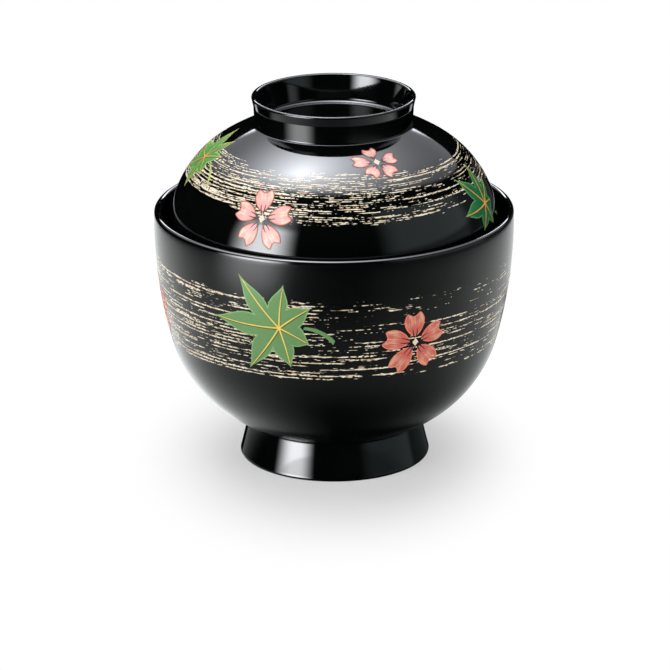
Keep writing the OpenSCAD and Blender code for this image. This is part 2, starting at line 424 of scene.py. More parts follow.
class Motif:
    """A painted figure, drawn flat with x to the right, y upwards and z off the wall"""

    def __init__(self):
        self.bm = bmesh.new()
        self.uv = self.bm.loops.layers.uv.new("motif")

    def spread(self, points):
        """A face through these corner points, made from a circle whose points are carried there"""
        ring = bmesh.ops.create_circle(self.bm, cap_ends=True, radius=1, segments=len(points))["verts"]
        for v, p in zip(ring, points):
            v.co = (p[0], p[1], 0)
        face = ring[0].link_faces[0]
        face.normal_update()
        if face.normal.z < 0:
            face.normal_flip()
        return face

    def bulge(self, face):
        """Bows each side of a leaf outwards near its notch and a little inwards near its tip"""
        for edge in face.edges[:]:
            loop = next(l for l in edge.link_loops if l.face == face)
            a, b = loop.vert.co.copy(), loop.link_loop_next.vert.co.copy()
            along = b - a
            out = Vector((along.y, -along.x, 0)) * LEAF_BULGE
            made = bmesh.ops.subdivide_edges(self.bm, edges=[edge], cuts=LEAF_CUTS)["geom_inner"]
            for v in only(bmesh.types.BMVert, made):
                t = (v.co - a).dot(along) / along.length_squared
                off_tip = t if a.length > b.length else 1 - t
                v.co += out * 4 * t * (1 - t) * (1.9 * off_tip - 0.4)

    def rim(self, face, width, slot):
        """A line of another colour along a face's edge"""
        line = bmesh.ops.inset_region(
            self.bm, faces=[face], thickness=width, use_even_offset=True, use_boundary=True)["faces"]
        for f in line:
            f.material_index = slot
        return line

    def coat(self, faces, low, high, uv_of):
        """Cuts faces into small cells that can follow the wall, and gives them their thickness"""
        faces = bmesh.ops.triangulate(self.bm, faces=faces)["faces"]
        geom = list({g for f in faces for g in (f, *f.edges, *f.verts)})
        for axis, across in enumerate((Vector((1, 0, 0)), Vector((0, 1, 0)))):
            places = [v.co[axis] for v in only(bmesh.types.BMVert, geom)]
            least, most = min(places), max(places)
            count = int((most - least) / CELL)
            for i in range(1, count + 1):
                at = least + (most - least) * i / (count + 1)
                geom = bmesh.ops.bisect_plane(
                    self.bm, geom=geom, dist=NEAR, plane_co=across * at, plane_no=across)["geom"]
        faces = only(bmesh.types.BMFace, geom)
        for v in {v for f in faces for v in f.verts}:
            v.co.z = low
        raised = bmesh.ops.extrude_face_region(self.bm, geom=faces, use_keep_orig=True)["geom"]
        for v in only(bmesh.types.BMVert, raised):
            v.co.z = high
        raised = only(bmesh.types.BMFace, raised)
        sides = {f for g in raised for e in g.edges for f in e.link_faces}
        body = list(set(faces) | set(raised) | sides)
        bmesh.ops.recalc_face_normals(self.bm, faces=body)
        for f in body:
            for loop in f.loops:
                loop[self.uv].uv = uv_of(loop.vert.co)
        return list({v for f in body for v in f.verts})

    def place(self, verts, degrees, shift=(0, 0)):
        """Turns and then shifts points in the flat"""
        turned = Matrix.Rotation(math.radians(degrees), 4, "Z")
        bmesh.ops.transform(self.bm, verts=verts, matrix=Matrix.Translation((*shift, 0)) @ turned)

    def strip(self, reach, wide, narrow, bend, low, high, slot, start=0.0):
        """A tapered brush line along x, bent aside by a share of its length"""
        made = bmesh.ops.create_grid(self.bm, x_segments=8, y_segments=1, size=0.5)["verts"]
        for v in made:
            t, side = v.co.x + 0.5, v.co.y * 2
            width = wide + (narrow - wide) * t
            v.co = (start + (reach - start) * t, bend * reach * 4 * t * (1 - t) + side * width / 2, 0)
        faces = list({f for v in made for f in v.link_faces})
        for f in faces:
            f.material_index = slot
            f.normal_update()
        return self.coat(faces, low, high, lambda p: (p.x / reach, 0.5 + p.y / (wide + narrow)))

    def lay_on(self, wall, run, turn_at, name, materials):
        """Carries the flat figure onto the wall and makes it an object"""
        for v in self.bm.verts:
            up = run + v.co.y * MM
            aside = v.co.x * MM / wall_point(wall, up, 0, 0).xy.length
            v.co = wall_point(wall, up, turn_at + aside, v.co.z * MM)
        return make_piece(name, self.bm, materials)


def leaf_motif(lobes, reach, stem, finish):
    """A maple leaf of a reach, with lobes and a stem as in the tables: green, its edge, veins and stem"""
    paint = finish.paint / MM
    motif = Motif()
    points = []
    for tip_at, tip, notch_at, notch in lobes:
        points += [around(math.radians(tip_at)) * tip * reach, around(math.radians(notch_at)) * notch * reach]
    face = motif.spread(points)
    motif.bulge(face)
    faces = [face] + motif.rim(face, finish.paint_edge / MM, 1)
    across = reach * LEAF_ACROSS
    motif.coat(faces, UNDER * paint, paint, lambda p: (0.5 + p.x / across, 0.5 + p.y / across))
    for tip_at, tip, _, _ in lobes:
        for slot, wide, shift, rise in VEIN_LINES:
            line = motif.strip(
                tip * reach * VEIN_SHARE, wide, VEIN_TIP, 0.02, 0.9 * paint, (1 + rise) * paint, slot)
            motif.place(line, tip_at, shift)
    start, end, bend, wide = stem
    along = Vector(end) - Vector(start)
    line = motif.strip(along.length, wide * 0.7, wide, bend, UNDER * paint, paint, 4)
    motif.place(line, math.degrees(math.atan2(along.y, along.x)), start)
    return motif


def petal_points(reach, width):
    """Outline of a cherry petal along x, narrow at its base and notched at its tip"""
    points = []
    for i in range(PETAL_STEPS):
        angle = math.tau * (i + 0.5) / PETAL_STEPS
        off_tip = math.degrees(min(angle, math.tau - angle))
        t = (1 + math.cos(angle)) / 2
        notch = 0.35 * max(0.0, 1 - abs(off_tip - 36) / 22) - 1.25 * max(0.0, 1 - off_tip / 32)
        side = math.sin(angle) * (0.42 + 0.58 * t ** 0.6) * width / 2 * 1.06
        points.append((PETAL_BASE + (reach - PETAL_BASE) * t + notch * PETAL_NOTCH * reach, side))
    return points


def blossom_motif(petals, rims, finish):
    """A cherry blossom with petals as in the tables, and with rims as lines round each: width, and its paint"""
    paint = finish.paint / MM
    motif = Motif()
    for angle, reach, width in petals:
        face = motif.spread(petal_points(reach, width))
        faces = [face]
        for rim_width, slot in rims:
            faces += motif.rim(face, rim_width, slot)
        verts = motif.coat(faces, UNDER * paint, paint, lambda p: (
            (p.x - PETAL_BASE) / (reach - PETAL_BASE), 0.5 + p.y / width))
        for aside in STAMENS:
            line = motif.strip(
                reach * STAMEN_SHARE, 0.42, 0.16, math.copysign(0.03, aside), 0.9 * paint, 1.3 * paint, 2,
                start=0.8 * PETAL_BASE)
            motif.place(line, aside)
            verts += line
        motif.place(verts, angle)
    heart = motif.spread([(0, HEART), (-0.8 * HEART, 0), (0, -HEART), (0.8 * HEART, 0)])
    heart.material_index = 3
    motif.coat([heart], UNDER * paint, 1.4 * paint, lambda p: (0.5 + p.x, 0.5 + p.y))
    return motif


# ---------------------------------------------------------------------------------------------------------
# Objects
# ---------------------------------------------------------------------------------------------------------


def make_piece(name, bm, materials):
    """A smooth-shaded object with its place in its mesh"""
    mesh = bpy.data.meshes.new(name)
    for f in bm.faces:
        f.smooth = True
    bm.to_mesh(mesh)
    bm.free()
    mesh.set_sharp_from_angle(angle=CREASE)
    for material in materials:
        mesh.materials.append(material)
    piece = bpy.data.objects.new(name, mesh)
    bpy.context.scene.collection.objects.link(piece)
    return piece


# ---------------------------------------------------------------------------------------------------------
# Materials
# ---------------------------------------------------------------------------------------------------------

FLOAT, VECTOR, COLOUR = "NodeSocketFloat", "NodeSocketVector", "NodeSocketColor"
BOWL_BAND = (36.8, 61.5)  # heights of the bowl's gold, in mm above the table
LID_BAND = (14.2, 29.0)  # lengths up the lid's section from the top of its skirt, in mm
GLOSS = {"roughness": 0.05, "haze": 0.02, "specular": 0.5, "bump": 0.15}
SATIN = {"roughness": 0.22, "haze": 0.04, "specular": 0.3, "bump": 0.4}
GOLD_ROUGHNESS = 0.42
GOLD_RISE = 3.0  # the gold's height next to the lacquer's waves
# The band's three kinds of rows: fill next to the band's own, distance apart and tallest stroke in mm, seed
EVEN_ROWS, HEAVY_ROWS = (0.0, 1.0, 0.4, 1.0), (-0.62, 3.1, 0.9, 4.0)
SPECKLE_ROWS, SPECKLE_REACH = (0.0, 0.55, 0.26, 7.0), 1.5


class Field:
    """A value that changes over a surface; plain arithmetic on it makes the math nodes"""

    def __init__(self, tree, socket):
        self.tree, self.socket = tree, socket

    def __add__(self, other):
        return self.tree.math("ADD", self, other)

    def __sub__(self, other):
        return self.tree.math("SUBTRACT", self, other)

    def __rsub__(self, other):
        return self.tree.math("SUBTRACT", other, self)

    def __mul__(self, other):
        return self.tree.math("MULTIPLY", self, other)

    def __truediv__(self, other):
        return self.tree.math("DIVIDE", self, other)

    def step(self, low, high):
        """0 at low, 1 at high, smooth between"""
        return self.tree.field(
            "ShaderNodeMapRange", {"Value": self, "From Min": low, "From Max": high},
            interpolation_type="SMOOTHSTEP")


class Tree:
    """Adds nodes to a material, a world or a group, each with its values and links"""

    def __init__(self, owner):
        self.nodes, self.links = owner.nodes, owner.links

    def put(self, value, socket):
        """Links a field or another node's socket, or sets a plain value"""
        if isinstance(value, Field):
            value = value.socket
        if isinstance(value, bpy.types.NodeSocket):
            self.links.new(value, socket)
        else:
            socket.default_value = value

    def add(self, kind, values=None, **settings):
        node = self.nodes.new(kind)
        for key, value in settings.items():
            setattr(node, key, value)
        for key, value in (values or {}).items():
            self.put(value, node.inputs[key])
        return node

    def field(self, kind, values=None, output=0, **settings):
        return Field(self, self.add(kind, values, **settings).outputs[output])

    def math(self, operation, *values):
        return self.field("ShaderNodeMath", dict(enumerate(values)), operation=operation)

    def split(self, point):
        """The three parts of a vector"""
        return [Field(self, part) for part in self.add("ShaderNodeSeparateXYZ", {"Vector": point}).outputs]

    def join(self, x, y, z):
        return self.field("ShaderNodeCombineXYZ", {"X": x, "Y": y, "Z": z})

    def noise(self, point, scales, shift=(0, 0, 0), detail=2.0, roughness=0.5):
        """Noise stretched along each axis, with its patches about as many millimetres long as scales says"""
        mapped = self.field(
            "ShaderNodeMapping", {"Vector": point, "Location": shift, "Scale": [1 / s for s in scales]})
        return self.field(
            "ShaderNodeTexNoise", {"Vector": mapped, "Scale": 1.0, "Detail": detail, "Roughness": roughness},
            "Fac")

    def mix(self, factor, a, b):
        """One colour over another"""
        node = self.add("ShaderNodeMix", data_type="RGBA")
        for identifier, value in (("Factor_Float", factor), ("A_Color", a), ("B_Color", b)):
            self.put(value, next(i for i in node.inputs if i.identifier == identifier))
        return next(o for o in node.outputs if o.identifier == "Result_Color")


def rgba(value):
    """A property's colour with full opacity"""
    return (*value, 1.0)


def new_group(name, inputs, outputs):
    """An empty shader node group with named inputs and outputs"""
    group = bpy.data.node_groups.new(name, "ShaderNodeTree")
    for kind, in_out in ((inputs, "INPUT"), (outputs, "OUTPUT")):
        for label, socket_type, default in kind:
            socket = group.interface.new_socket(name=label, in_out=in_out, socket_type=socket_type)
            if default is not None:
                socket.default_value = default
    t = Tree(group)
    given = t.add("NodeGroupInput").outputs
    out = t.add("NodeGroupOutput").inputs
    return group, t, [Field(t, given[label]) for label, _, _ in inputs], out


def group_named(name, build):
    """A node group, built the first time that it is asked for"""
    return bpy.data.node_groups.get(name) or build()


def brush_rows(t, point, run, fill, reach, rows):
    """Level rows of broken strokes, about reach long and as tall as fill and the kind of rows allow"""
    extra, pitch, tallest, seed = rows
    place = (run + seed * 0.37) / pitch
    off = t.math("ABSOLUTE", t.math("FRACT", place) - 0.5) * pitch
    x, y, _ = t.split(point)
    level = t.join(x / reach, y / reach, t.math("FLOOR", place) * 9.7 + seed)
    line = t.noise(level, (4.5, 4.5, 1), (2, 5, 30), detail=0.0)
    stroke = t.noise(level, (0.8, 0.8, 1), detail=1.5)
    limit = (fill + extra) * -0.2 + 0.6
    tall = t.math("MINIMUM", (line * 0.55 + stroke * 0.45 - limit) * (tallest * 7), tallest / 2)
    fray = (t.noise(point, (1.7, 1.7, 0.42), (seed, 0, 0), detail=1.0) - 0.5) * 0.4
    return (tall + fray - off).step(-0.01, 0.025)


def brush_band_group():
    """Dry brush strokes of gold powder, in level rows between two heights of the wall"""
    group, t, (point, low, high, fill, speckle, reach), out = new_group(
        "dry_brush_band",
        [("Point", VECTOR, None), ("Low", FLOAT, 0.0), ("High", FLOAT, 1.0), ("Fill", FLOAT, 0.5),
         ("Speckle", FLOAT, 0.2), ("Reach", FLOAT, 5.0)],
        [("Mask", FLOAT, None), ("Tone", FLOAT, None)])
    run = t.split(point)[2] + (t.noise(point, (60, 60, 30), detail=0.0) - 0.5) * 1.6
    ragged = (t.noise(point, (7, 7, 0.8), (3, 1, 0)) - 0.5) * 3.2
    band = (run + ragged * 0.55).step(low - 0.2, low + 0.2) * (run + ragged).step(high + 1.0, high - 1.4)
    clump = (t.noise(point, (22, 22, 3.2), (7, 2, 5), detail=1.0) - 0.5) * 1.5
    fill = clump + fill + (band - 1) * 1.4
    speckle = speckle + (band - 1) * 1.2
    mask = t.math(
        "MAXIMUM", brush_rows(t, point, run, fill, reach, EVEN_ROWS),
        brush_rows(t, point, run, fill, reach, HEAVY_ROWS))
    mask = t.math("MAXIMUM", mask, brush_rows(t, point, run, speckle, SPECKLE_REACH, SPECKLE_ROWS))
    gaps = t.noise(point, (0.9, 0.9, 0.4), (1, 1, 1), detail=1.0).step(0.38, 0.44)
    t.put(mask * gaps * band.step(0.02, 0.1), out["Mask"])
    t.put(t.noise(point, (3.5, 3.5, 0.7), (4, 4, 4)).step(0.3, 0.58), out["Tone"])
    return group


def lacquer_skin_group():
    """Faint unevenness of brushed and polished lacquer"""
    group, t, (point, black), out = new_group(
        "lacquer_skin", [("Point", VECTOR, None), ("Black", COLOUR, (0, 0, 0, 1))],
        [("Colour", COLOUR, None), ("Haze", FLOAT, None), ("Waves", FLOAT, None)])
    slow = t.noise(point, (18, 18, 14))
    fine = t.noise(point, (0.5, 0.5, 0.5), detail=3.0, roughness=0.6)
    warm = t.field("ShaderNodeHueSaturation", {"Color": black, "Value": 1.7})
    t.put(t.mix(slow.step(0.3, 0.7), black, warm), out["Colour"])
    t.put(slow * 0.6 + fine * 0.4, out["Haze"])
    t.put(slow + fine * 0.4, out["Waves"])
    return group


def paint_grain_group():
    """Fine brush grain of paint, light on the raised ridges"""
    group, t, (point, paint, depth), out = new_group(
        "paint_grain", [("Point", VECTOR, None), ("Paint", COLOUR, (0, 0, 0, 1)), ("Depth", FLOAT, 0.35)],
        [("Colour", COLOUR, None), ("Ridges", FLOAT, None)])
    ridges = t.noise(point, (1.6, 1.6, 0.5), detail=3.0, roughness=0.6)
    patches = t.noise(point, (6, 6, 4), (3, 3, 3))
    shade = (ridges * 0.6 + patches * 0.4 - 0.5) * depth + 1
    t.put(t.field("ShaderNodeHueSaturation", {"Color": paint, "Value": shade}), out["Colour"])
    t.put(ridges, out["Ridges"])
    return group


def new_material(name):
    """A node material with only its output left"""
    material = bpy.data.materials.new(name)
    material.use_nodes = True
    material.node_tree.nodes.clear()
    t = Tree(material.node_tree)
    return material, t, t.add("ShaderNodeOutputMaterial").inputs["Surface"]


def put_shader(t, surface, base, rough, specular, bump, distance, height):
    """The shader of lacquer and of paint, with its bumps"""
    bumped = t.field("ShaderNodeBump", {"Strength": bump, "Distance": distance, "Height": height})
    shader = t.field("ShaderNodeBsdfPrincipled", {
        "Base Color": base, "Roughness": rough, "Normal": bumped, "Specular IOR Level": specular, "IOR": 1.5})
    t.put(shader, surface)


def millimetres(t):
    """Object coordinates in millimetres"""
    place = t.add("ShaderNodeTexCoord").outputs["Object"]
    return t.field("ShaderNodeVectorMath", {0: place, "Scale": 1 / MM}, operation="SCALE")


def gold_band(t, point, band, fill, speckle, reach):
    """Mask and tone of a brushed band"""
    node = t.add("ShaderNodeGroup", node_tree=group_named("dry_brush_band", brush_band_group))
    for key, value in zip(("Point", "Low", "High", "Fill", "Speckle", "Reach"), (
            point, *band, fill, speckle, reach)):
        t.put(value, node.inputs[key])
    return Field(t, node.outputs["Mask"]), Field(t, node.outputs["Tone"])


def finish_lacquer(t, surface, finish, point, look, mask=None, tone=None):
    """Joins the lacquer's skin and, where there is one, the gold band to the shader"""
    skin = t.add(
        "ShaderNodeGroup", {"Point": point, "Black": rgba(finish.lacquer)},
        node_tree=group_named("lacquer_skin", lacquer_skin_group))
    base, haze, height = (Field(t, skin.outputs[key]) for key in ("Colour", "Haze", "Waves"))
    rough = haze * look["haze"] + (look["roughness"] - look["haze"] / 2)
    if mask is not None:
        base = t.mix(mask, base, t.mix(tone, rgba(finish.gold_shade), rgba(finish.gold)))
        rough = rough + mask * (GOLD_ROUGHNESS - rough)
        height = height + mask * GOLD_RISE
    put_shader(t, surface, base, rough, look["specular"], look["bump"], 0.02 * MM, height)


def gloss_lacquer(finish):
    """Black gloss lacquer of the lip, the foot and the inside"""
    material, t, surface = new_material("gloss_lacquer")
    finish_lacquer(t, surface, finish, millimetres(t), GLOSS)
    return material


def satin_lacquer(finish):
    """Black satin lacquer of the bowl's outer wall, with gold that is densest at the left and thinner at the top
    on the right
    """
    material, t, surface = new_material("satin_lacquer")
    point = millimetres(t)
    x, _, z = t.split(point)
    low, _ = BOWL_BAND
    dense = x.step(4.0, -34.0) * 0.28 + 0.38
    # Less gold in the upper part of the band towards the right
    thinner_top = x.step(-14.0, 8.0) * z.step(50.5, 53.5)
    fill = dense + z.step(low + 1.6, low + 0.9) * 0.12 - thinner_top * 0.3
    mask, tone = gold_band(t, point, BOWL_BAND, fill, fill * 0.5 - 0.12, 5.5)
    finish_lacquer(t, surface, finish, point, SATIN, mask, tone)
    return material


def lid_lacquer(finish, section):
    """Black gloss lacquer of the lid with its brushed gold band, whose rows keep their spacing up the dome"""
    material, t, surface = new_material("lid_lacquer")
    point = millimetres(t)
    x, y, z = t.split(point)
    centre = section.shoulder_centre / MM
    radius = t.math("SQRT", x * x + y * y)
    run = t.math("ARCTAN2", z - centre.y, radius - centre.x) * (section.shoulder_radius / MM)
    outside = z.step(section.low / MM + 3, section.low / MM + 3.2)
    left = x.step(-14.0, -34.0)
    low, high = LID_BAND
    mask, tone = gold_band(
        t, t.join(x, y, run), (left * 2.5 + low, left * 2.0 + high), x.step(-2.0, -26.0) * 0.66 + 0.18,
        x.step(34.0, 10.0) * 0.48 + 0.14, 12.0)
    finish_lacquer(t, surface, finish, point, GLOSS, mask * outside, tone)
    return material


def paint_material(name, first, second=None, blend=None):
    """Paint in one colour, or in two that blend gives a mask for"""
    material, t, surface = new_material(name)
    paint = rgba(first) if second is None else t.mix(blend(t), rgba(first), rgba(second))
    grain = t.add(
        "ShaderNodeGroup", {"Point": millimetres(t), "Paint": paint},
        node_tree=group_named("paint_grain", paint_grain_group))
    put_shader(t, surface, grain.outputs["Colour"], 0.38, 0.3, 0.35, 0.03 * MM, grain.outputs["Ridges"])
    return material


def petal_strokes(t):
    """Cream strokes that run along the outer part of a petal"""
    uv = t.add("ShaderNodeUVMap", uv_map="motif").outputs[0]
    along = t.split(uv)[0]
    streak = t.noise(uv, (0.5, 0.055, 1))
    return streak.step(0.43, 0.57) * along.step(0.3, 0.6) * along.step(0.98, 0.86)


def leaf_glow(t):
    """Lighter paint towards the tips of a leaf"""
    uv = t.add("ShaderNodeUVMap", uv_map="motif").outputs[0]
    off = t.field("ShaderNodeVectorMath", {0: uv, 1: (0.5, 0.5, 0)}, "Value", operation="DISTANCE")
    return off.step(0.1, 0.42) * t.noise(uv, (0.12, 0.12, 1)).step(0.3, 0.7)


# ---------------------------------------------------------------------------------------------------------
# Operators
# ---------------------------------------------------------------------------------------------------------

SATIN_START = 0.2 * MM  # the satin wall starts this far above the foot


class SOUPBOWL_OT_bowl(bpy.types.Operator):
    """Turn the bowl's shell, satin outside with a gold band, gloss at the lip, the foot and inside"""

    bl_idname = "soupbowl.bowl"
    bl_label = "Bowl"

    def execute(self, context):
        size, finish = context.scene.soup_bowl_sizes, context.scene.soup_bowl_finish
        bm = draw_bowl(size)
        for f in bm.faces:
            middle = f.calc_center_median()
            low, high = size.foot_height + SATIN_START, size.height - size.gloss_edge
            if f.normal.xy.dot(middle.xy) > 0 and low < middle.z < high:
                f.material_index = 1
        bowl = make_piece("lacquer_bowl", bm, [gloss_lacquer(finish), satin_lacquer(finish)])
        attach(bowl, "bowl")
        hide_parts("bowl")
        return {"FINISHED"}


class SOUPBOWL_OT_lid(bpy.types.Operator):
    """Turn the lid's shell with its grip ring, gloss all over with a gold band round the dome"""

    bl_idname = "soupbowl.lid"
    bl_label = "Lid"

    def execute(self, context):
        scene = context.scene
        section = lid_section(scene.soup_lid_sizes, scene.soup_bowl_sizes)
        bm = draw_lid(scene.soup_lid_sizes, section)
        lid = make_piece("lacquer_lid", bm, [lid_lacquer(scene.soup_bowl_finish, section)])
        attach(lid, "lid")
        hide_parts("lid")
        return {"FINISHED"}


# Each lobe: angle of its tip, its length, angle of the notch after it, the notch's distance from the middle,
# with lengths next to the leaf's reach
BOWL_LEAF = (
    (129, 1.0, 155, 0.44), (178, 1.1, -156, 0.4), (-125, 0.89, -108, 0.36), (-77, 0.65, -54, 0.34),
    (-28, 0.5, 8, 0.31), (36, 0.59, 67, 0.34), (83, 0.69, 116, 0.37),
)
LEFT_LEAF = (
    (113, 0.9, 144, 0.4), (176, 1.06, -162, 0.42), (-143, 0.86, -110, 0.36), (-80, 0.72, -56, 0.34),
    (-34, 0.55, -6, 0.33), (23, 0.62, 45, 0.34), (67, 0.73, 90, 0.37),
)
RIGHT_LEAF = (
    (130, 1.0, 156, 0.44), (-178, 0.97, -152, 0.38), (-127, 0.62, -97, 0.33), (-67, 0.55, -36, 0.3),
    (-4, 0.42, 16, 0.3), (37, 0.68, 58, 0.38), (79, 0.92, 104, 0.4),
)
# Each stem: start, end, bend and width
BOWL_STEM = ((6.9, 0.5), (14.9, -3.7), 0.12, 1.35)
LEFT_STEM = ((6.6, -0.2), (13.7, -5.3), 0.1, 0.7)
RIGHT_STEM = ((7.0, -4.8), (9.8, -6.3), 0.1, 0.8)
# Each leaf: what it is on, lobes, reach, stem, paint, degrees to the right of the front, way up the section
LEAVES = (
    *(("bowl", BOWL_LEAF, 18.6, BOWL_STEM, "leaf", turn_at, 50.1) for turn_at in (-17.7, 107.0, -131.0)),
    ("lid", LEFT_LEAF, 13.9, LEFT_STEM, "pale_leaf", -80.9, 25.0),
    ("lid", RIGHT_LEAF, 13.4, RIGHT_STEM, "lid_leaf", 71.5, 11.3),
    ("lid", LEFT_LEAF, 13.9, LEFT_STEM, "pale_leaf", 168.0, 20.0),
)
# Each petal: its angle, length and width
BOWL_BLOSSOM = ((96, 9.2, 6.9), (21, 9.1, 6.6), (-50, 9.4, 6.6), (-126, 10.2, 6.6), (167, 10.0, 6.8))
LOW_BLOSSOM = ((98, 8.8, 6.5), (16, 8.8, 6.5), (-53, 9.0, 6.0), (-125, 8.9, 6.0), (168, 8.8, 6.5))
HIGH_BLOSSOM = ((99, 5.8, 4.9), (8, 6.4, 4.9), (-55, 6.6, 5.0), (-125, 6.2, 4.9), (173, 7.2, 4.9))
RIMS = {"bowl": ((0.3, 1),), "lid": ((0.14, 2), (0.28, 1))}
# Each blossom: what it is on, petals, degrees to the right of the front, way up the section
BLOSSOMS = (
    ("bowl", BOWL_BLOSSOM, 27.0, 44.7), ("bowl", BOWL_BLOSSOM, -84.0, 44.0),
    ("bowl", BOWL_BLOSSOM, 152.0, 44.7), ("lid", LOW_BLOSSOM, -27.4, 14.8), ("lid", HIGH_BLOSSOM, 23.6, 33.2),
    ("lid", LOW_BLOSSOM, 122.0, 17.0), ("lid", HIGH_BLOSSOM, -140.0, 29.0),
)


def leaf_materials(finish, name, vein, blend=None):
    """Green, its edge, veins, their shade and the stem"""
    green, edge = getattr(finish, name), getattr(finish, f"{name}_edge")
    lines = {"edge": edge, "vein": vein, "shade": finish.leaf_shade, "stem": edge if blend else green}
    return [
        paint_material(f"{name}_paint", green, edge if blend else None, blend),
        *(paint_material(f"{name}_{line}_paint", paint) for line, paint in lines.items()),
    ]


def blossom_materials(finish, name, streak, prefix=""):
    """Petals with their streaks, their edge, the stamens and the centre"""
    return [
        paint_material(f"{name}_petal_paint", getattr(finish, name), streak, petal_strokes),
        paint_material(f"{name}_edge_paint", finish.coral_edge),
        paint_material(f"{prefix}stamen_paint", finish.ink),
        paint_material(f"{prefix}heart_paint", finish.cream),
    ]


def lay_figures(scene, kind, figures):
    """Lays figures on the walls, numbered on each: body, flat figure, paints, degrees, way up the section"""
    sizes = scene.soup_bowl_sizes
    walls = {"bowl": bowl_section(sizes).wall, "lid": lid_section(scene.soup_lid_sizes, sizes).wall}
    numbers = dict.fromkeys(walls, 0)
    for body, motif, materials, turn_at, run in figures:
        numbers[body] += 1
        name = f"{body}_{kind}_{numbers[body]}"
        piece = motif.lay_on(walls[body], run * MM, math.radians(turn_at), name, materials)
        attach(piece, body)


class SOUPBOWL_OT_leaves(bpy.types.Operator):
    """Paint the maple leaves on the bowl's side and on the lid"""

    bl_idname = "soupbowl.leaves"
    bl_label = "Maple leaves"

    def execute(self, context):
        finish = context.scene.soup_bowl_finish
        paints = {
            "leaf": leaf_materials(finish, "leaf", finish.vein),
            "lid_leaf": leaf_materials(finish, "lid_leaf", finish.lid_vein, leaf_glow),
            "pale_leaf": leaf_materials(finish, "pale_leaf", finish.lid_vein, leaf_glow),
        }
        lay_figures(context.scene, "leaf", (
            (body, leaf_motif(lobes, reach, stem, finish), paints[paint], turn_at, run)
            for body, lobes, reach, stem, paint, turn_at, run in LEAVES))
        return {"FINISHED"}


class SOUPBOWL_OT_blossoms(bpy.types.Operator):
    """Paint the cherry blossoms on the bowl's side and on the lid"""

    bl_idname = "soupbowl.blossoms"
    bl_label = "Cherry blossoms"

    def execute(self, context):
        finish = context.scene.soup_bowl_finish
        paints = {
            "bowl": blossom_materials(finish, "coral", finish.coral_streak),
            "lid": blossom_materials(finish, "pink", finish.cream, "lid_"),
        }
        lay_figures(context.scene, "blossom", (
            (body, blossom_motif(petals, RIMS[body], finish), paints[body], turn_at, run)
            for body, petals, turn_at, run in BLOSSOMS))
        return {"FINISHED"}


# ---------------------------------------------------------------------------------------------------------
# Stage: the table, what the lacquer mirrors, the lamps, the world and the camera
# ---------------------------------------------------------------------------------------------------------

CARD_STEPS = 32


def curved_card(name, radius, turns, heights, material):
    """A card bent round the bowl, between two angles to the right of the front and two heights"""
    bm = bmesh.new()
    start, end = (math.radians(turn_at) for turn_at in turns)
    foot = bm.verts.new((radius * math.sin(start), -radius * math.cos(start), heights[0]))
    raised = bmesh.ops.extrude_vert_indiv(bm, verts=[foot])["verts"][0]
    raised.co.z = heights[1]
    bmesh.ops.spin(bm, geom=bm.verts[:] + bm.edges[:], axis=(0, 0, 1), angle=end - start, steps=CARD_STEPS)
    return make_piece(name, bm, [material])


def flat_card(name, low, high, height, material):
    """A level card between two corners"""
    bm = bmesh.new()
    made = bmesh.ops.create_grid(bm, x_segments=1, y_segments=1, size=0.5)["verts"]
    for v in made:
        x, y = (a + (b - a) * (at + 0.5) for a, b, at in zip(low, high, v.co))
        v.co = (x, y, height)
    return make_piece(name, bm, [material])


def seen_in_gloss(card):
    """A card that only shows as a reflection in the lacquer"""
    card.visible_camera = card.visible_diffuse = card.visible_transmission = False
    card.visible_volume_scatter = card.visible_shadow = False


def light_card(name, glow_of, tint):
    """A material that glows where glow_of, working from Object coordinates, gives a strength and a cover"""
    material, t, surface = new_material(name)
    x, y, z = t.split(t.add("ShaderNodeTexCoord").outputs["Object"])
    strength, cover = glow_of(t, x, y, z)
    glow = t.field("ShaderNodeEmission", {"Color": rgba(tint), "Strength": strength})
    clear = t.field("ShaderNodeBsdfTransparent")
    t.put(t.field("ShaderNodeMixShader", {0: cover, 1: clear, 2: glow}), surface)
    return material


def seen_and_mirrored(t):
    """Whether a ray comes straight or through glass from the camera, and whether it is mirrored in gloss"""
    path = t.add("ShaderNodeLightPath").outputs
    return t.math("MAXIMUM", path["Is Camera Ray"], path["Is Transmission Ray"]), path["Is Glossy Ray"]


def turn_degrees(t, x, y):
    """Angle to the right of the front, in degrees"""
    return t.math("ARCTAN2", x, y * -1) * (180 / math.pi)


def flat_distance(t, x, y, centre=(0, 0), reach=(1, 1)):
    """Distance from a point of the level plane, with each axis counted in its own reach"""
    right, back = (x - centre[0]) / reach[0], (y - centre[1]) / reach[1]
    return t.math("SQRT", right * right + back * back)


def window_width(turn_at):
    """How far a direction is inside the window, which is soft at both sides"""
    return turn_at.step(-77, -52) * turn_at.step(-24, -44)


def dark_glow(t, x, y, z):
    """Black cloth, all but dark and a little uneven from its foot to its top"""
    return t.math("SINE", z) * 0.0005 + 0.002, 1.0


def window_glow(t, x, y, z):
    """Bright window at the left, with a dimmer pane low down, a dim strip over it and a faint glow behind it"""
    turn_at = turn_degrees(t, x, y)
    lit = z.step(0.43, 0.33) * 0.78 + z.step(0.78, 0.64) * 0.22
    pane = z.step(0.026, 0.034) * z.step(0.078, 0.07) * turn_at.step(-76, -58)
    glow = (z.step(0.05, 0.12) * -4 + 21.5 - pane * 6.5) * lit * window_width(turn_at)
    glow = glow + z.step(-0.02, -0.2) * turn_at.step(-88, -125) * 0.45
    return glow, glow.step(0, 0.02)


def panel_glow(t, x, y, z):
    """Dim panels round the right, whose top sinks towards the back"""
    turn_at = turn_degrees(t, x, y)
    glow = turn_at.step(28, 50) * turn_at.step(112, 100) * 0.44 + turn_at.step(28, 40) * 0.12
    by_height = z.step(0.03, -0.02) * 0.25 + 0.42 + z.step(0.09, 0.15) * 0.58
    over = z - (turn_at * -0.0064 + 1.1)
    return glow * by_height, over.step(0.02, -0.02)


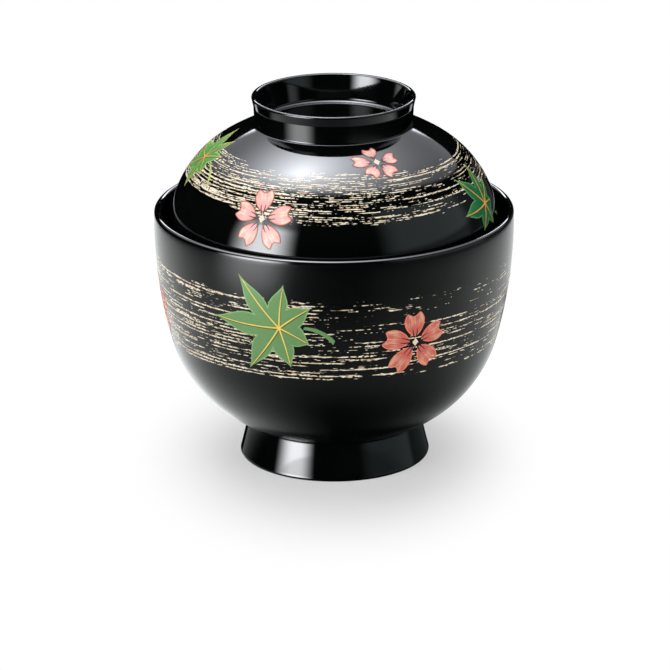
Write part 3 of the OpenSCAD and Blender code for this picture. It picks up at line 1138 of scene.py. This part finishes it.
def scrim_glow(t, x, y, z):
    """Overhead cloth: the lamp's spot behind it, dying away evenly, and a soft oval edge"""
    spot = t.math("POWER", math.e, flat_distance(t, x, y, (-0.2, 0.12)) / -0.265)
    rear = flat_distance(t, x, y, (0, 2.2), (0.9, 0.75)).step(1, 0.6)
    oval = flat_distance(t, x, y, (0, 2.2), (1.4, 2.47))
    return spot * 25 + rear * 8 + 0.9, oval.step(1.035, 0.965)


def table_in_gloss(t, x, y, grazing):
    """What the lacquer mirrors of the table, as a painted glow: cloth that is lit from both sides, with a painted
    shadow close round the foot, and the window's own image, a painted reflection
    """
    away, turn_at = flat_distance(t, x, y), turn_degrees(t, x, y)
    left = t.math("MINIMUM", t.math("MAXIMUM", turn_at * -0.01, 0), 1.12)
    right = t.math("MAXIMUM", turn_at * 0.01, 0)
    left, right = left * left, right * right
    right_far = t.math("MINIMUM", right * 1.3 + turn_at.step(15, 30) * 0.2, 1.3)
    right = right * 0.55
    right = right + (right_far - right) * away.step(0.07, 0.2)
    # Painted shadow: the mirrored cloth goes dark close round the foot
    sides = (left * 1.3 + right) * away.step(0.026, 0.036)
    front = away.step(0.043, 0.085) * away.step(0.175, 0.1) * 0.3
    by_foot = away.step(0.08, 0.045) * turn_at.step(4, -75) * 0.5
    shallow = t.math("MAXIMUM", away.step(0.185, 0.165), grazing.step(0.59, 0.62))
    cloth = (sides + front + by_foot) * shallow * away.step(0.272, 0.252)
    window = (away.step(0.185, 0.22) * 4.2 + away.step(0.12, 0.19) * 1.1) * away.step(0.37, 0.31)
    return cloth + window * window_width(turn_at)


def table_material():
    """Pale table that fades to white round the bowl's soft shadow, and that the lacquer mirrors as a glow. The
    shadow is partly real and partly painted
    """
    material, t, surface = new_material("pale_table")
    place = t.add("ShaderNodeTexCoord").outputs["Object"]
    x, y, _ = t.split(place)
    grain = t.noise(place, (0.02, 0.02, 0.02), detail=3.0)
    shade = t.mix(grain, (0.90, 0.90, 0.90, 1), (0.94, 0.94, 0.94, 1))
    cloth = t.field("ShaderNodeBsdfDiffuse", {"Color": shade})
    white = t.field("ShaderNodeEmission", {"Strength": 1.0})
    clear = t.field("ShaderNodeBsdfTransparent")
    shown, in_gloss = seen_and_mirrored(t)
    # Painted shadow: less of the white glow and more of the lit cloth in an oval round the bowl, longer towards
    # the front, over which the bowl's real shadow falls
    fade = flat_distance(t, x, y, (0, -0.005), (1, 1.5)).step(0.024, 0.06) * 0.58 + 0.42
    seen = t.field("ShaderNodeMixShader", {0: fade * shown, 1: cloth, 2: white})
    grazing = t.field("ShaderNodeLayerWeight", {"Blend": 0.5}, "Facing")
    near = flat_distance(t, x, y).step(0.17, 0.13)
    hole = t.math("MAXIMUM", near * grazing.step(0.61, 0.65), grazing.step(0.775, 0.80))
    mirrored = t.field("ShaderNodeEmission", {
        "Color": (0.97, 1.0, 1.0, 1.0), "Strength": table_in_gloss(t, x, y, grazing)})
    mirrored = t.field("ShaderNodeMixShader", {0: hole, 1: mirrored, 2: clear})
    seen = t.field("ShaderNodeMixShader", {0: in_gloss, 1: seen, 2: mirrored})
    under = t.add("ShaderNodeNewGeometry").outputs["Backfacing"]
    t.put(t.field("ShaderNodeMixShader", {0: under, 1: seen, 2: clear}), surface)
    return material


# What each card's cloth shows, and its tint
CLOTHS = {
    "dark_cloth": (dark_glow, (1, 1, 1)),
    "left_glow": (window_glow, (0.98, 0.99, 1.02)),
    "right_glow": (panel_glow, (0.85, 1.0, 1.0)),
    "scrim_glow": (scrim_glow, (0.95, 0.98, 1.05)),
}
# The cards that the lacquer mirrors: distance from the axis, angles to the right of the front, heights
CURVED_CARDS = (
    ("dark_surround", 2.2, (-180, 180), (-1.5, 3.0), "dark_cloth"),
    ("left_window", 0.6, (-150, -24), (-0.3, 0.8), "left_glow"),
    ("right_panel", 0.7, (27, 158), (-0.35, 0.8), "right_glow"),
)
# Two corners and the height
FLAT_CARDS = (
    ("dark_ceiling", (-2.3, -2.3), (2.3, 2.3), 3.0, "dark_cloth"),
    ("dark_pit", (-2.3, -2.3), (2.3, 2.3), -1.5, "dark_cloth"),
    ("overhead_scrim", (-1.45, -0.36), (1.45, 3.2), 0.9, "scrim_glow"),
)
TABLE_DROP = 0.02 * MM  # keeps the table just clear of the foot
LAMP_AIM = Vector((0, 0, 0.06))


def area_lamp(name, place, size, power):
    """A round lamp that lights the paint and doesn't show in the lacquer"""
    lamp = bpy.data.objects.new(name, bpy.data.lights.new(name, "AREA"))
    lamp.data.shape, lamp.data.size, lamp.data.energy = "DISK", size, power
    lamp.location = place
    lamp.rotation_euler = (LAMP_AIM - Vector(place)).to_track_quat("-Z", "Y").to_euler()
    lamp.visible_glossy = lamp.visible_camera = False
    bpy.context.scene.collection.objects.link(lamp)


def white_world(ambient):
    """Even light on the object, and white where it is seen, mirrored or looked through"""
    world = bpy.data.worlds.new("studio")
    world.use_nodes = True
    world.node_tree.nodes.clear()
    t = Tree(world.node_tree)
    shown, mirrored = seen_and_mirrored(t)
    shown = t.math("MAXIMUM", shown, mirrored)
    background = t.field("ShaderNodeBackground", {"Strength": shown * (1 - ambient) + ambient})
    t.put(background, t.add("ShaderNodeOutputWorld").inputs["Surface"])
    return world


def studio_camera(studio):
    """A long lens in front of the bowl, looking down on it"""
    camera = bpy.data.objects.new("camera", bpy.data.cameras.new("camera"))
    camera.data.lens, camera.data.sensor_width, camera.data.sensor_fit = studio.lens, 36, "HORIZONTAL"
    camera.data.clip_start, camera.data.clip_end = 0.05, 50
    tilt = Matrix.Rotation(math.pi / 2 - studio.camera_tilt, 4, "X")
    lean = Matrix.Rotation(studio.camera_roll, 4, "Z")
    place = Matrix.Translation((studio.camera_aside, -studio.camera_distance, studio.camera_height))
    camera.matrix_world = place @ tilt @ lean
    bpy.context.scene.collection.objects.link(camera)
    return camera


class SOUPBOWL_OT_stage(bpy.types.Operator):
    """Set the pale table, the cards that the lacquer mirrors, the lamps, the world and the camera"""

    bl_idname = "soupbowl.stage"
    bl_label = "Studio"

    def execute(self, context):
        scene = context.scene
        studio = scene.soup_bowl_studio
        flat_card("table", (-6, -6), (6, 6), -TABLE_DROP, table_material())
        cloths = {name: light_card(name, glow_of, tint) for name, (glow_of, tint) in CLOTHS.items()}
        for *card, cloth in CURVED_CARDS:
            seen_in_gloss(curved_card(*card, cloths[cloth]))
        for *card, cloth in FLAT_CARDS:
            seen_in_gloss(flat_card(*card, cloths[cloth]))
        area_lamp("overhead_lamp", (-0.25, 0.1, 1.3), 1.2, studio.key)
        area_lamp("left_lamp", (-0.95, -0.85, 0.55), 0.8, studio.side)
        area_lamp("right_lamp", (1.0, -0.9, 0.6), 0.8, studio.fill)
        scene.world = white_world(studio.ambient)
        scene.camera = studio_camera(studio)
        scene.view_settings.view_transform = "Standard"
        return {"FINISHED"}


class SOUPBOWL_PT_panel(bpy.types.Panel):
    """Sizes, colours and operators of the lacquer soup bowl"""

    bl_idname = "SOUPBOWL_PT_panel"
    bl_label = "Lacquer Soup Bowl"
    bl_space_type = "VIEW_3D"
    bl_region_type = "UI"
    bl_category = "Soup Bowl"

    def draw(self, context):
        for title, group in (
            ("Bowl", context.scene.soup_bowl_sizes), ("Lid", context.scene.soup_lid_sizes),
            ("Finish", context.scene.soup_bowl_finish), ("Studio", context.scene.soup_bowl_studio),
        ):
            box = self.layout.box()
            box.label(text=title)
            for key in group.bl_rna.properties.keys():
                if key not in ("rna_type", "name"):
                    box.prop(group, key)
        for step in STEPS:
            self.layout.operator(step.bl_idname)


GROUPS = (
    ("soup_bowl_sizes", SoupBowlSizes), ("soup_lid_sizes", SoupLidSizes),
    ("soup_bowl_finish", SoupBowlFinish), ("soup_bowl_studio", SoupBowlStudio),
)
STEPS = (SOUPBOWL_OT_bowl, SOUPBOWL_OT_lid, SOUPBOWL_OT_leaves, SOUPBOWL_OT_blossoms, SOUPBOWL_OT_stage)


def register():
    for key, group in GROUPS:
        bpy.utils.register_class(group)
        setattr(bpy.types.Scene, key, PointerProperty(type=group))
    for cls in (*STEPS, SOUPBOWL_PT_panel):
        bpy.utils.register_class(cls)


def unregister():
    for cls in (SOUPBOWL_PT_panel, *reversed(STEPS)):
        bpy.utils.unregister_class(cls)
    for key, group in reversed(GROUPS):
        delattr(bpy.types.Scene, key)
        bpy.utils.unregister_class(group)


def main():
    register()
    bpy.ops.soupbowl.bowl()
    bpy.ops.soupbowl.lid()
    bpy.ops.soupbowl.leaves()
    bpy.ops.soupbowl.blossoms()
    bpy.ops.soupbowl.stage()


if __name__ == "__main__":
    main()
